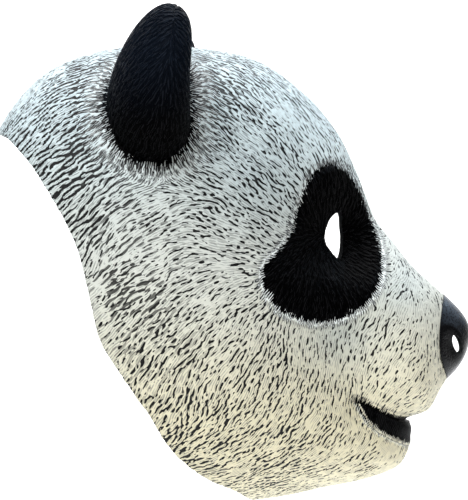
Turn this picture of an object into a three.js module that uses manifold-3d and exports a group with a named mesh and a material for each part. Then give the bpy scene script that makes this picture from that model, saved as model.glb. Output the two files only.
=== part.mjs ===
// A moulded latex panda mask for an adult. It covers the face, the crown and the cheeks, and is open
// at the back and under the chin, where the head goes in.
// Millimetres. +X points out of the face, +Z up, and Y = 0 is the mirror plane. The origin is the point
// inside the crown where the wearer's head carries the mask.
import * as THREE from "three";
import { mergeVertices } from "three/addons/utils/BufferGeometryUtils.js";
import Module from "manifold-3d";

const wasm = await Module();
wasm.setup();

// Shell
const SHELL_LENGTH = 311.5; // rear point of the rim to the seat of the nose
const SHELL_HEIGHT = 315; // crown to the lowest point of the rim
const SHELL_WIDTH = 260; // across the cheeks
const WALL = 2; // thickness of the latex
const CLEARANCE = 0.3; // gap between touching pieces
const SEAT_RING = 9.85; // ring of the face table over the point where the head carries the mask

// Nose
const NOSE_LENGTH = 20; // how far the nose stands out of the muzzle
const NOSE_POINT = 1.3; // 1 is a plain half ellipse from the side, more is more pointed
const NOSTRIL_WIDTH = 6;
const NOSTRIL_HEIGHT = 14;
const NOSTRIL_SLANT = 20; // degrees, top towards the back

// Eyes
const EYE_HOLE_WIDTH = 12.6;
const EYE_HOLE_HEIGHT = 34.3;
const PATCH_WIDTH = 84;
const PATCH_HEIGHT = 108;
const PATCH_RAISE = 1.2; // thickness of the raised black patch
const PATCH_APART = 24; // white between the two patches, at the bridge of the nose

// Mouth
const MOUTH_LENGTH = 49; // corner to past the front of the lip
const MOUTH_DROP = 33.6; // corner to the lowest edge of the black lip
const MOUTH_GAP = 0.8; // slit between the upper lip and the black lower lip
const LIP_PROUD = 0.5; // how far the black lip stands out of the jaw
const LIP_BACKING = 1; // how far it goes in behind the wall

// Ears
const EAR_HEIGHT = 118; // long axis of the egg that the ear is cut from
const EAR_WIDTH = 100;
const EAR_THICKNESS = 62;
const EAR_WALL = 2.4;
const EAR_TAPER = 0.18; // how much thinner the tip is than the middle
const EAR_RAISE = 9; // centre of the egg above the skin
const EAR_TILT = 40; // degrees outwards
const EAR_LEAN = 11.5; // degrees forwards
const EAR_CUP_DEPTH = 13; // hollow in the ear's front
const EAR_CUP_REACH = 30;
const EAR_CUP_RISE = 12; // centre of the hollow above the egg's centre
const EAR_SEAT = { ring: 9.82, angle: 45 }; // its root: a ring of the face table, degrees from the top

// Faceting
const COLUMNS = 48; // round the face
const FACE_ROWS = 16; // nose to brow
const HEAD_ROWS = 14; // brow to rim
const NOSE_ROWS = 6;
const NOSE_COLUMNS = 24;
const NOSTRIL_SIDES = 12;
const EAR_COLUMNS = 20;
const EAR_ROWS = 13;
const OUTLINE_STEPS = 3; // points for each row of a smooth outline

const MATERIALS = {
  white_fur: { color: 0xdcdccf, roughness: 0.62, metalness: 0 },
  black_fur: { color: 0x0d0e12, roughness: 0.45, metalness: 0 },
  nose_black: { color: 0x101116, roughness: 0.32, metalness: 0 },
  lip_black: { color: 0x141318, roughness: 0.4, metalness: 0 },
};

// Each row is a ring round the face, from the nose's seat to behind the rim: its top and bottom on the
// mirror plane and its widest point at the side. x is a share of SHELL_LENGTH from the rear, z of
// SHELL_HEIGHT from below, and y of half of SHELL_WIDTH. upper and lower fill the ring out above and
// below its side, as a share of its radius there. keel is how fast a ring falls back from its top: the
// higher, the narrower the ridge between the eyes.
const RING_COLUMNS = "topX topZ sideX sideY sideZ lowX lowZ upper lower keel".split(" ");
const RINGS = [
  [0.991, 0.451, 0.975, 0.24, 0.345, 0.998, 0.264, 0, 0, 2],
  [0.962, 0.476, 0.948, 0.35, 0.355, 0.98, 0.238, 0, 0.04, 2],
  [0.917, 0.518, 0.903, 0.43, 0.367, 0.955, 0.196, -0.03, 0.06, 2],
  [0.874, 0.573, 0.836, 0.47, 0.389, 0.905, 0.175, -0.1, 0.06, 3],
  [0.843, 0.616, 0.748, 0.53, 0.407, 0.915, 0.14, -0.18, 0.02, 3.4],
  [0.82, 0.664, 0.665, 0.66, 0.429, 0.911, 0.104, -0.18, 0, 2.8],
  [0.793, 0.727, 0.584, 0.8, 0.447, 0.884, 0.067, -0.08, 0, 2.2],
  [0.753, 0.809, 0.499, 0.9, 0.46, 0.809, 0.04, 0, 0.02, 2],
  [0.681, 0.894, 0.409, 0.965, 0.473, 0.726, 0.024, 0.03, 0.03, 2],
  [0.569, 0.971, 0.321, 1, 0.482, 0.647, 0.007, 0.04, 0.04, 2],
  [0.422, 0.998, 0.238, 1, 0.491, 0.569, -0.004, 0.05, 0.05, 2],
  [0.265, 0.997, 0.157, 0.96, 0.504, 0.479, -0.009, 0.05, 0.05, 2],
  [0.13, 0.958, 0.09, 0.89, 0.527, 0.378, -0.007, 0.05, 0.05, 2],
  [0.04, 0.883, 0.027, 0.78, 0.567, 0.261, 0.016, 0.04, 0.04, 2],
  [-0.031, 0.767, -0.045, 0.6, 0.598, 0.13, 0.082, 0.02, 0.02, 2],
].map((row) => Object.fromEntries(row.map((value, i) => [RING_COLUMNS[i], value])));
const BROW_RING = 6; // the rows forward of this ring follow the rings, those behind it fan out to the rim
const LOWER_KEEL = 2; // the same below the side as keel is above it

// The cut edge at the back, seen from the side, from the crown down: x and z as shares like the rings'.
const RIM = [
  { z: 0.804, x: -0.002 },
  { z: 0.793, x: 0.024 },
  { z: 0.771, x: 0.048 },
  { z: 0.729, x: 0.087 },
  { z: 0.676, x: 0.123 },
  { z: 0.612, x: 0.162 },
  { z: 0.549, x: 0.191 },
  { z: 0.465, x: 0.213 },
  { z: 0.361, x: 0.238 },
  { z: 0.308, x: 0.269 },
  { z: 0.244, x: 0.311 },
  { z: 0.201, x: 0.342 },
  { z: 0.145, x: 0.373 },
  { z: 0.095, x: 0.415 },
  { z: 0.055, x: 0.469 },
  { z: 0.027, x: 0.524 },
  { z: 0.002, x: 0.557 },
];

// Soft hollows and swells on both sides of the face. x and z are shares like the rings', reach is a
// share of SHELL_LENGTH, and height a share of SHELL_WIDTH, along the skin's normal.
const SWELLS = [
  { name: "eye socket", x: 0.772, z: 0.582, reach: 0.055, height: -0.032 },
  { name: "brow", x: 0.7, z: 0.7, reach: 0.06, height: 0.012 },
  { name: "cheek", x: 0.5, z: 0.3, reach: 0.16, height: 0.03 },
  { name: "muzzle pad", x: 0.9, z: 0.27, reach: 0.065, height: 0.016 },
  { name: "muzzle root", x: 0.8, z: 0.38, reach: 0.04, height: -0.014 },
  { name: "mouth corner", x: 0.795, z: 0.215, reach: 0.028, height: -0.014 },
  { name: "temple", x: 0.5, z: 0.8, reach: 0.09, height: -0.014 },
  { name: "ear root", x: 0.34, z: 0.85, reach: 0.1, height: 0.014 },
];
const PHILTRUM = { top: 0.27, bottom: 0.185, width: 0.016, depth: 0.01 }; // groove from nose to mouth

// Closed outlines seen from the side, as shares of the hole's or patch's own width and height from its
// centre. The centres are shares like the rings'.
const EYE_CENTRE = { x: 0.742, z: 0.579 };
const EYE_HOLE = [
  { x: 0.17, z: 0.5 },
  { x: 0.44, z: 0.31 },
  { x: 0.42, z: -0.02 },
  { x: 0.44, z: -0.31 },
  { x: 0.18, z: -0.46 },
  { x: -0.44, z: -0.27 },
  { x: -0.55, z: -0.02 },
  { x: -0.28, z: 0.33 },
];
const PATCH_CENTRE = { x: 0.712, z: 0.563 };
const PATCH = [
  { x: 0.08, z: 0.5 },
  { x: 0.28, z: 0.44 },
  { x: 0.43, z: 0.24 },
  { x: 0.5, z: 0.0 },
  { x: 0.475, z: -0.235 },
  { x: 0.3, z: -0.41 },
  { x: -0.01, z: -0.5 },
  { x: -0.315, z: -0.44 },
  { x: -0.5, z: -0.25 },
  { x: -0.43, z: -0.07 },
  { x: -0.235, z: 0.095 },
  { x: -0.16, z: 0.33 },
];
const NOSTRIL_CENTRE = { x: 1.018, z: 0.342 };

// The mouth seen from the side, from its corner forward: along is a share of MOUTH_LENGTH, and the two
// edges are shares of MOUTH_DROP below the corner.
const MOUTH_CORNER = { x: 0.793, z: 0.22 };
const MOUTH_EDGES = [
  { along: 0.0, upper: 0.0, lower: 0.02 },
  { along: 0.057, upper: 0.042, lower: 0.1875 },
  { along: 0.157, upper: 0.104, lower: 0.4375 },
  { along: 0.3, upper: 0.208, lower: 0.625 },
  { along: 0.471, upper: 0.333, lower: 0.771 },
  { along: 0.614, upper: 0.406, lower: 0.875 },
  { along: 0.729, upper: 0.4375, lower: 0.9375 },
  { along: 1.0, upper: 0.469, lower: 1.0 },
];

const ALONG = SHELL_LENGTH;
const UP = SHELL_HEIGHT;
const HALF_WIDTH = SHELL_WIDTH / 2;
const STEP = 1e-3; // step of the numeric derivatives, in rings and radians
const radians = THREE.MathUtils.degToRad;

// Smooth curve through the rows of a table, by a column that rises or falls, straight past its ends.
function smooth(rows, keyOf, column, key) {
  const rising = keyOf(rows.length - 1) > keyOf(0);
  let i = 0;
  while (i < rows.length - 2 && (rising ? key > keyOf(i + 1) : key < keyOf(i + 1))) i += 1;
  const slope = (k) => {
    const a = Math.max(k - 1, 0);
    const b = Math.min(k + 1, rows.length - 1);
    return (rows[b][column] - rows[a][column]) / (keyOf(b) - keyOf(a));
  };
  const span = keyOf(i + 1) - keyOf(i);
  const t = (key - keyOf(i)) / span;
  if (t < 0) return rows[i][column] + slope(i) * t * span;
  if (t > 1) return rows[i + 1][column] + slope(i + 1) * (t - 1) * span;
  const h = t * t * (3 - 2 * t);
  const start = slope(i) * span * t * (1 - t) * (1 - t);
  const end = slope(i + 1) * span * t * t * (t - 1);
  return rows[i][column] * (1 - h) + rows[i + 1][column] * h + start + end;
}
const ringValue = (column, ring) => smooth(RINGS, (i) => i, column, ring);
const rimX = (z) => smooth(RIM, (i) => RIM[i].z, "x", z);

// Point of the plain loft on a ring, at an angle from its top, in the shell's own frame.
function loft(ring, angle) {
  const upwards = Math.cos(angle);
  const half = upwards > 0 ? "top" : "low";
  const reach = Math.abs(upwards);
  const bulge = ringValue(upwards > 0 ? "upper" : "lower", ring);
  const fill = 1 + bulge * Math.sin(2 * angle) ** 2;
  const sweep = reach ** (upwards > 0 ? ringValue("keel", ring) : LOWER_KEEL);
  const sideX = ringValue("sideX", ring);
  const sideZ = ringValue("sideZ", ring);
  const x = sideX + (ringValue(`${half}X`, ring) - sideX) * sweep;
  const y = ringValue("sideY", ring) * Math.sin(angle) * fill;
  const z = sideZ + (ringValue(`${half}Z`, ring) - sideZ) * reach * fill;
  return new THREE.Vector3(x * ALONG, y * HALF_WIDTH, z * UP);
}

// Outward normal of a surface given as a function of ring and angle.
function normalOf(surface, ring, angle) {
  const alongRing = surface(ring, angle + STEP).sub(surface(ring, angle - STEP));
  const backwards = surface(ring + STEP, angle).sub(surface(ring - STEP, angle));
  return alongRing.cross(backwards).normalize();
}

const bell = (distance) => Math.exp(-distance * distance);

// How far the swells and the groove under the nose move the skin, in millimetres.
function swellAt(point) {
  let height = 0;
  for (const swell of SWELLS) {
    const dx = point.x - swell.x * ALONG;
    const dz = point.z - swell.z * UP;
    height += swell.height * SHELL_WIDTH * bell(Math.hypot(dx, dz) / (swell.reach * ALONG));
  }
  const middle = ((PHILTRUM.top + PHILTRUM.bottom) / 2) * UP;
  const halfLength = ((PHILTRUM.top - PHILTRUM.bottom) / 2) * UP;
  const across = bell(point.y / (PHILTRUM.width * SHELL_WIDTH));
  const front = point.x > MOUTH_CORNER.x * ALONG ? 1 : 0;
  height -= PHILTRUM.depth * SHELL_WIDTH * across * front * bell((point.z - middle) / halfLength);
  return height;
}

function skin(ring, angle) {
  const point = loft(ring, angle);
  return point.addScaledVector(normalOf(loft, ring, angle), swellAt(point));
}

const offsetSkin = (ring, angle, offset) =>
  skin(ring, angle).addScaledVector(normalOf(skin, ring, angle), offset);

// The ring at which the skin meets the rim's cut, at one angle.
function rimRing(angle) {
  let ahead = BROW_RING;
  let behind = RINGS.length - 1;
  for (let i = 0; i < 40; i += 1) {
    const middle = (ahead + behind) / 2;
    const point = skin(middle, angle);
    if (point.x > rimX(point.z / UP) * ALONG) ahead = middle;
    else behind = middle;
  }
  return ahead;
}

const turns = (count) => Array.from({ length: count }, (_, i) => (i / count) * 2 * Math.PI);
const ANGLES = turns(COLUMNS);
const RIM_RINGS = ANGLES.map(rimRing);
const ROWS = FACE_ROWS + HEAD_ROWS;

function ringOfRow(row, column) {
  if (row <= FACE_ROWS) return (row / FACE_ROWS) * BROW_RING;
  return BROW_RING + ((row - FACE_ROWS) / HEAD_ROWS) * (RIM_RINGS[column] - BROW_RING);
}

// Closed body from equal closed loops of points: each loop is joined to the next, and the last to the
// first (a wall) or each end to its own pole (a lump).
function bodyFromLoops(loops, poles) {
  const size = loops[0].length;
  const points = loops.flat();
  const triangles = [];
  const last = poles ? loops.length - 1 : loops.length;
  for (let i = 0; i < last; i += 1) {
    const here = i * size;
    const next = ((i + 1) % loops.length) * size;
    const returning = !poles && i >= loops.length / 2;
    for (let j = 0; j < size; j += 1) {
      const k = (j + 1) % size;
      const leftSide = j < size / 2;
      // The diagonals match on both faces of a wall and mirror from side to side.
      if (returning === leftSide) {
        triangles.push(here + j, here + k, next + j, here + k, next + k, next + j);
      } else {
        triangles.push(here + j, here + k, next + k, here + j, next + k, next + j);
      }
    }
  }
  if (poles) {
    const end = (loops.length - 1) * size;
    const first = points.push(poles[0]) - 1;
    const final = points.push(poles[1]) - 1;
    for (let j = 0; j < size; j += 1) {
      const k = (j + 1) % size;
      triangles.push(first, k, j, final, end + j, end + k);
    }
  }
  return solid(points, triangles);
}

function solid(points, triangles) {
  const vertProperties = new Float32Array(points.flatMap((p) => [p.x, p.y, p.z]));
  const made = new wasm.Manifold(
    new wasm.Mesh({ numProp: 3, vertProperties, triVerts: new Uint32Array(triangles) }),
  );
  if (made.volume() > 0) return made;
  const turned = [];
  for (let i = 0; i < triangles.length; i += 3) {
    turned.push(triangles[i], triangles[i + 2], triangles[i + 1]);
  }
  return new wasm.Manifold(
    new wasm.Mesh({ numProp: 3, vertProperties, triVerts: new Uint32Array(turned) }),
  );
}

// A three.js geometry as a solid, with shared vertices merged.
function solidFromGeometry(geometry) {
  geometry.deleteAttribute("normal");
  geometry.deleteAttribute("uv");
  const merged = mergeVertices(geometry, STEP);
  return new wasm.Manifold(
    new wasm.Mesh({
      numProp: 3,
      vertProperties: merged.attributes.position.array,
      triVerts: new Uint32Array(merged.index.array),
    }),
  );
}

// Outline in the side view, extruded across the whole mask.
function prism(outline) {
  const shape = new THREE.Shape(outline.map((p) => new THREE.Vector2(p.x, p.z)));
  const depth = 2 * SHELL_WIDTH;
  const geometry = new THREE.ExtrudeGeometry(shape, { depth, bevelEnabled: false });
  geometry.translate(0, 0, -depth / 2);
  geometry.rotateX(Math.PI / 2);
  return solidFromGeometry(geometry);
}

// Smooth closed outline through a table, scaled to its own width and height about its centre.
function outlineOf(table, centre, width, height) {
  const corners = table.map(
    (p) => new THREE.Vector3(centre.x * ALONG + p.x * width, 0, centre.z * UP + p.z * height),
  );
  const curve = new THREE.CatmullRomCurve3(corners, true, "catmullrom", 0.5);
  return curve.getPoints(table.length * OUTLINE_STEPS).slice(0, -1);
}

const loopOfRow = (row, offset) =>
  ANGLES.map((angle, column) => offsetSkin(ringOfRow(row, column), angle, offset));
const loopsOfSkin = (first, last, offset) =>
  Array.from({ length: last - first + 1 }, (_, i) => loopOfRow(first + i, offset));

// Part of the wall between two offsets from the skin, over some rows.
function wallLayer(first, last, inner, outer) {
  const outside = loopsOfSkin(first, last, outer);
  const inside = loopsOfSkin(first, last, inner).reverse();
  return bodyFromLoops([...outside, ...inside]);
}

// The whole head as one lump, to shape what sits on it.
function headLump(offset) {
  const loops = loopsOfSkin(0, ROWS, offset);
  const centreOf = (loop) =>
    loop.reduce((sum, p) => sum.add(p), new THREE.Vector3()).divideScalar(loop.length);
  return bodyFromLoops(loops, [centreOf(loops[0]), centreOf(loops[ROWS])]);
}

const mirrored = (made) => made.mirror([0, 1, 0]);

// Ear frame at its root on the right side: axis out of the head, width round it, front forwards.
function earFrame() {
  const root = skin(EAR_SEAT.ring, -radians(EAR_SEAT.angle));
  const tilt = radians(EAR_TILT);
  const lean = radians(EAR_LEAN);
  const axis = new THREE.Vector3(
    Math.sin(lean),
    -Math.sin(tilt) * Math.cos(lean),
    Math.cos(tilt) * Math.cos(lean),
  );
  const width = new THREE.Vector3(0, -Math.cos(tilt), -Math.sin(tilt));
  const front = new THREE.Vector3().crossVectors(width, axis).normalize();
  if (front.x < 0) front.negate();
  const centre = root.clone().addScaledVector(axis, EAR_RAISE);
  return { centre, axis, width, front };
}

// Egg of the ear's form, taken in by a wall: thinner at its tip and hollowed in front.
function earEgg(inset) {
  const { centre, axis, width, front } = earFrame();
  const place = (rise, across, depth) => {
    const taper = 1 - EAR_TAPER * (rise / (EAR_HEIGHT / 2));
    const hollow = bell(Math.hypot(across, rise - EAR_CUP_RISE) / EAR_CUP_REACH);
    const facing = THREE.MathUtils.smoothstep(depth / (EAR_THICKNESS / 2), 0, 1);
    const forwards = depth * taper - EAR_CUP_DEPTH * hollow * facing;
    return centre
      .clone()
      .addScaledVector(axis, rise)
      .addScaledVector(width, across)
      .addScaledVector(front, forwards);
  };
  const semi = {
    rise: EAR_HEIGHT / 2 - inset,
    across: EAR_WIDTH / 2 - inset,
    depth: EAR_THICKNESS / 2 - inset,
  };
  const loops = [];
  for (let row = 1; row < EAR_ROWS; row += 1) {
    const polar = (row / EAR_ROWS) * Math.PI;
    const rise = semi.rise * Math.cos(polar);
    const around = Math.sin(polar);
    const spot = (turn) =>
      place(rise, semi.across * around * Math.sin(turn), semi.depth * around * Math.cos(turn));
    loops.push(turns(EAR_COLUMNS).map(spot));
  }
  return bodyFromLoops(loops, [place(semi.rise, 0, 0), place(-semi.rise, 0, 0)]);
}

function makeEar() {
  return earEgg(0).subtract(earEgg(EAR_WALL)).subtract(headLump(CLEARANCE));
}

// Upper and lower edge of the mouth as one closed outline.
function mouthOutline(shiftX, shiftZ) {
  const edge = (side) =>
    MOUTH_EDGES.map((row) => ({
      x: MOUTH_CORNER.x * ALONG + row.along * MOUTH_LENGTH + shiftX,
      z: MOUTH_CORNER.z * UP - row[side] * MOUTH_DROP + shiftZ,
    }));
  return [...edge("lower"), ...edge("upper").reverse()];
}

function makeLip() {
  const jaw = wallLayer(0, FACE_ROWS, -WALL - LIP_BACKING, LIP_PROUD);
  const underSlit = prism(mouthOutline(0, -MOUTH_GAP));
  const aboveJaw = prism(mouthOutline(CLEARANCE, 2 * CLEARANCE));
  return jaw.intersect(underSlit).intersect(aboveJaw);
}

function makePatch() {
  const layer = wallLayer(0, ROWS, CLEARANCE, CLEARANCE + PATCH_RAISE);
  const patches = layer
    .intersect(prism(outlineOf(PATCH, PATCH_CENTRE, PATCH_WIDTH, PATCH_HEIGHT)))
    .subtract(eyeHoles());
  const half = 2 * SHELL_WIDTH;
  const rightSide = solidFromGeometry(
    new THREE.BoxGeometry(2 * half, half, 2 * half).translate(0, -(half + PATCH_APART) / 2, 0),
  );
  return patches.intersect(rightSide);
}

const eyeHoles = () => prism(outlineOf(EYE_HOLE, EYE_CENTRE, EYE_HOLE_WIDTH, EYE_HOLE_HEIGHT));

function makeShell() {
  const earHollow = earEgg(EAR_WALL);
  return wallLayer(0, ROWS, -WALL, 0)
    .subtract(eyeHoles())
    .subtract(prism(mouthOutline(0, 0)))
    .subtract(earHollow)
    .subtract(mirrored(earHollow));
}

// Dome over the muzzle's front ring: share 0 is its seat and 1 its tip.
function noseLoop(share, offset, length) {
  const ring = turns(NOSE_COLUMNS).map((angle) => offsetSkin(0, angle, offset));
  const middle = ring.reduce((sum, p) => sum.add(p), new THREE.Vector3()).divideScalar(NOSE_COLUMNS);
  const turn = (share * Math.PI) / 2;
  const radius = Math.cos(turn) ** NOSE_POINT;
  const forwards = CLEARANCE + length * Math.sin(turn);
  return ring.map((p) => {
    const point = p.clone().sub(middle).multiplyScalar(radius);
    point.x *= radius;
    return point.add(middle).add(new THREE.Vector3(forwards, 0, 0));
  });
}

function noseDome(offset, length) {
  const loops = [];
  for (let row = 0; row < NOSE_ROWS; row += 1) {
    loops.push(noseLoop(row / NOSE_ROWS, offset, length));
  }
  const tip = noseLoop(1, offset, length)[0];
  return { loops, tip };
}

function makeNose() {
  const outer = noseDome(0, NOSE_LENGTH);
  const inner = noseDome(-WALL, NOSE_LENGTH - WALL);
  const cup = bodyFromLoops([...outer.loops.reverse(), ...inner.loops], [outer.tip, inner.tip]);
  const slant = radians(NOSTRIL_SLANT);
  const nostril = turns(NOSTRIL_SIDES).map((turn) => {
    const across = (NOSTRIL_WIDTH / 2) * Math.cos(turn);
    const rise = (NOSTRIL_HEIGHT / 2) * Math.sin(turn);
    return {
      x: NOSTRIL_CENTRE.x * ALONG + across * Math.cos(slant) - rise * Math.sin(slant),
      z: NOSTRIL_CENTRE.z * UP + across * Math.sin(slant) + rise * Math.cos(slant),
    };
  });
  return cup.subtract(prism(nostril));
}

function meshOf(name, made, material) {
  const { vertProperties, triVerts } = made.getMesh();
  const geometry = new THREE.BufferGeometry();
  geometry.setAttribute("position", new THREE.BufferAttribute(vertProperties, 3));
  geometry.setIndex(new THREE.BufferAttribute(triVerts, 1));
  geometry.computeVertexNormals();
  const mesh = new THREE.Mesh(geometry, new THREE.MeshStandardMaterial(MATERIALS[material]));
  mesh.name = name;
  return mesh;
}

const ear = makeEar();
const patch = makePatch();
const pieces = new THREE.Group();
pieces.add(
  meshOf("mask_shell", makeShell(), "white_fur"),
  meshOf("nose", makeNose(), "nose_black"),
  meshOf("lower_lip", makeLip(), "lip_black"),
  meshOf("eye_patch_right", patch, "black_fur"),
  meshOf("eye_patch_left", mirrored(patch), "black_fur"),
  meshOf("ear_right", ear, "black_fur"),
  meshOf("ear_left", mirrored(ear), "black_fur"),
);
pieces.position.copy(offsetSkin(SEAT_RING, 0, -WALL)).negate();

const mask = new THREE.Group();
mask.add(pieces);
export default mask;
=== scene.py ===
"""A latex panda mask with sculpted fur, dressed over its solids.

Metres. +X points out of the face, +Z up, Y = 0 is the mirror plane, and the origin is the point inside
the crown where the wearer's head carries the mask.
"""

import math

import bpy
import numpy as np
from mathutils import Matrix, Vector
from mathutils.bvhtree import BVHTree


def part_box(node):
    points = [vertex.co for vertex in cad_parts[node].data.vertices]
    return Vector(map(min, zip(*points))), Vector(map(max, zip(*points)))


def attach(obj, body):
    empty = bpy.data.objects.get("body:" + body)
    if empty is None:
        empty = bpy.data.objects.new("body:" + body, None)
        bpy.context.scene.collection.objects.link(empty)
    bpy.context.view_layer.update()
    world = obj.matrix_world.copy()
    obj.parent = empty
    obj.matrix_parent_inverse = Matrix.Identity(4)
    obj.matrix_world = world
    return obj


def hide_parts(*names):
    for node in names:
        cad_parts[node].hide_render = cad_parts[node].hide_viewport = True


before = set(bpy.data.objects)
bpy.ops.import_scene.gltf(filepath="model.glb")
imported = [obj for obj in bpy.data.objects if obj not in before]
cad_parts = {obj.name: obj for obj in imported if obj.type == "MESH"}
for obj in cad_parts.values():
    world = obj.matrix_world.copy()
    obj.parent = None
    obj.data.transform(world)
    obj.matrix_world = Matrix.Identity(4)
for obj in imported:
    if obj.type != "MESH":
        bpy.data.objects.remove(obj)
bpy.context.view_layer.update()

MM = 0.001

# Sizes. The shell's reach in shares of its tables turns the frame's box into the tables' units.
shell_low, shell_high = (np.array(corner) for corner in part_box("mask_shell"))
SHELL_REACH = np.array([1.0061, 2 * 1.0069, 1.0073])
LENGTH, HALF_WIDTH, HEIGHT = (shell_high - shell_low) / SHELL_REACH
WALL = 2 * MM
SEAT_RING = 9.85  # ring over the point where the head carries the mask

# The face: a ring a row, from the nose's seat to behind the rim, as in the solids. x is a share of
# LENGTH from the rear, z of HEIGHT from below, and y of HALF_WIDTH. upper and lower fill a ring out, and
# keel is how fast it falls back from its top.
RING_COLUMNS = "topX topZ sideX sideY sideZ lowX lowZ upper lower keel".split()
RINGS = [
    (0.991, 0.451, 0.975, 0.24, 0.345, 0.998, 0.264, 0.0, 0.0, 2),
    (0.962, 0.476, 0.948, 0.35, 0.355, 0.98, 0.238, 0.0, 0.04, 2),
    (0.917, 0.518, 0.903, 0.43, 0.367, 0.955, 0.196, -0.03, 0.06, 2),
    (0.874, 0.573, 0.836, 0.47, 0.389, 0.905, 0.175, -0.1, 0.06, 3),
    (0.843, 0.616, 0.748, 0.53, 0.407, 0.915, 0.14, -0.18, 0.02, 3.4),
    (0.82, 0.664, 0.665, 0.66, 0.429, 0.911, 0.104, -0.18, 0.0, 2.8),
    (0.793, 0.727, 0.584, 0.8, 0.447, 0.884, 0.067, -0.08, 0.0, 2.2),
    (0.753, 0.809, 0.499, 0.9, 0.46, 0.809, 0.04, 0.0, 0.02, 2),
    (0.681, 0.894, 0.409, 0.965, 0.473, 0.726, 0.024, 0.03, 0.03, 2),
    (0.569, 0.971, 0.321, 1.0, 0.482, 0.647, 0.007, 0.04, 0.04, 2),
    (0.422, 0.998, 0.238, 1.0, 0.491, 0.569, -0.004, 0.05, 0.05, 2),
    (0.265, 0.997, 0.157, 0.96, 0.504, 0.479, -0.009, 0.05, 0.05, 2),
    (0.13, 0.958, 0.09, 0.89, 0.527, 0.378, -0.007, 0.05, 0.05, 2),
    (0.04, 0.883, 0.027, 0.78, 0.567, 0.261, 0.016, 0.04, 0.04, 2),
    (-0.031, 0.767, -0.045, 0.6, 0.598, 0.13, 0.082, 0.02, 0.02, 2),
]
RING = {name: np.array([row[i] for row in RINGS], float) for i, name in enumerate(RING_COLUMNS)}
BROW_RING = 6
LOWER_KEEL = 2

# The cut edge at the back: z, x
RIM = [
    (0.804, -0.002), (0.793, 0.024), (0.771, 0.048), (0.729, 0.087), (0.676, 0.123), (0.612, 0.162),
    (0.549, 0.191), (0.465, 0.213), (0.361, 0.238), (0.308, 0.269), (0.244, 0.311), (0.201, 0.342),
    (0.145, 0.373), (0.095, 0.415), (0.055, 0.469), (0.027, 0.524), (0.002, 0.557),
]

# Soft hollows and swells: name, x, z, reach as a share of LENGTH, height as a share of the width
SWELLS = [
    ("eye socket", 0.772, 0.582, 0.055, -0.032),
    ("brow", 0.7, 0.7, 0.06, 0.012),
    ("cheek", 0.5, 0.3, 0.16, 0.03),
    ("muzzle pad", 0.9, 0.27, 0.065, 0.016),
    ("muzzle root", 0.8, 0.38, 0.04, -0.014),
    ("mouth corner", 0.795, 0.215, 0.028, -0.014),
    ("temple", 0.5, 0.8, 0.09, -0.014),
    ("ear root", 0.34, 0.85, 0.1, 0.014),
]
# The groove under the nose: shares of HEIGHT, then shares of the width
PHILTRUM_MIDDLE, PHILTRUM_HALF = 0.2275, 0.0425
PHILTRUM_WIDTH, PHILTRUM_DEPTH = 0.016, 0.01

# Outlines seen from the side: shares of their own width and height from the centre
EYE_CENTRE = (0.742, 0.579)
EYE_SIZE = (12.6 * MM, 34.3 * MM)
EYE_HOLE = [
    (0.27, 0.5), (0.44, 0.44), (0.47, 0.19), (0.52, -0.06), (0.45, -0.35),
    (0.23, -0.46), (-0.35, -0.23), (-0.55, -0.04), (-0.46, 0.17), (-0.24, 0.36),
]
PATCH_CENTRE = (0.712, 0.563)
PATCH_SIZE = (84 * MM, 108 * MM)
PATCH_RAISE = 1.5 * MM
PATCH_APART = 24 * MM
PATCH = [
    (0.08, 0.5), (0.28, 0.44), (0.43, 0.24), (0.5, 0.0), (0.475, -0.235), (0.3, -0.41),
    (-0.01, -0.5), (-0.315, -0.44), (-0.5, -0.25), (-0.43, -0.07), (-0.235, 0.095), (-0.16, 0.33),
]
NOSTRIL_CENTRE = (1.018, 0.342)

# The mouth from its corner forward: along, upper edge, lower edge
MOUTH_CORNER = (0.793, 0.22)
MOUTH_LENGTH = 49 * MM
MOUTH_DROP = 33.6 * MM
MOUTH_GAP = 0.8 * MM
LIP_PROUD = 0.6 * MM
LIP_TUCK = 0.3 * MM  # how far the lip goes under the edge of the jaw
LIP_PUSH = 3 * MM
LIP_FRONT, LIP_FADE = 130 * MM, 15 * MM
LIP_LOW, LIP_HIGH = -269 * MM, -260 * MM
LIP_INSET = 1.3 * MM  # how far its black paint stays inside its lower edge
LIP_INNER = 1 * MM  # how much thicker than the wall the lip is
MOUTH_EDGES = [
    (0.0, 0.0, 0.02), (0.057, 0.042, 0.1875), (0.157, 0.104, 0.4375), (0.3, 0.208, 0.625),
    (0.471, 0.333, 0.771), (0.614, 0.406, 0.875), (0.729, 0.4375, 0.9375), (1.0, 0.469, 1.0),
]

NOSE_LENGTH = 20 * MM
NOSE_RISE = 4.5 * MM
NOSE_GAP = 0.3 * MM
NOSTRIL_SIZE = (6 * MM, 14 * MM)
NOSTRIL_SLANT = math.radians(20)
FLARE_SHIFT = (-3.5 * MM, -2.5 * MM)
FLARE_SIZE = (5 * MM, 9 * MM)
FLARE_DEPTH = 4 * MM
FLARE_ROLL = 0.9 * MM
FLARE_FADE = 14 * MM  # half the width over which the dips of the two sides meet
ROLL_AT, ROLL_WIDTH = 1.7, 0.5  # in shares of the flare's size

EAR = {
    "height": 118 * MM, "width": 100 * MM, "thickness": 62 * MM, "wall": 2.4 * MM, "taper": 0.18,
    "raise": 9 * MM, "tilt": math.radians(40), "lean": math.radians(11.5),
    "cup": 13 * MM, "cup_reach": 30 * MM, "cup_rise": 12 * MM,
}
EAR_SEAT = (9.82, math.radians(-45))
EAR_GAP = 0.4 * MM

# The photograph, for what is read off it in pixels
PHOTO_WIDTH, PHOTO_HEIGHT = 468, 500
PIXEL = 0.7 * MM
SEAT_PIXEL = (200, 51.6)
CAMERA_DISTANCE = 2.0

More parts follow.
